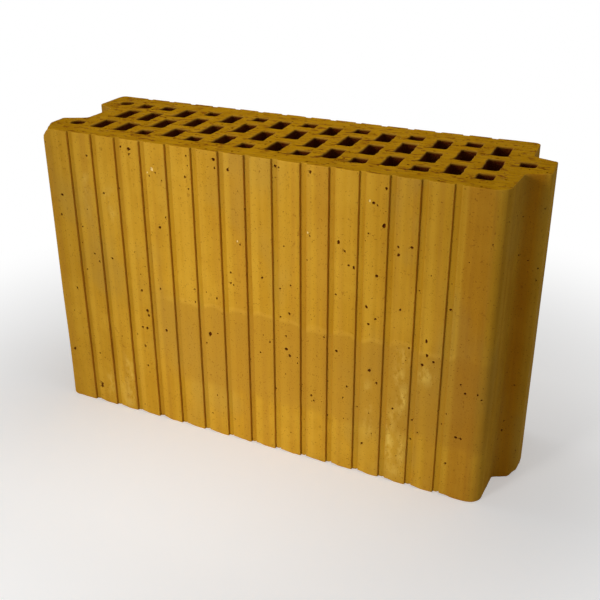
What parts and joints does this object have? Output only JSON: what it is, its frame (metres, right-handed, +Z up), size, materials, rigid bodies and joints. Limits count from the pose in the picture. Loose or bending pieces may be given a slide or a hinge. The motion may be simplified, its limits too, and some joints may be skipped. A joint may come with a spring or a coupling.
{
  "type": "hollow clay block",
  "caption": "Fired clay wall block with rows of upright through cells, plaster key grooves on both long faces, and tongue-and-groove ends.",
  "frame": {"origin": "centre of the block's bounding box, on the bed face that it stands on", "axes": "+X along the block towards the tongue, +Y from the front face to the back face, +Z up along the cells"},
  "size_m": [0.385, 0.115, 0.238],
  "materials": {
    "fired_clay": "matte"
  },
  "bodies": {
    "root": {"clay_block": "fired_clay"}
  },
  "joints": []
}
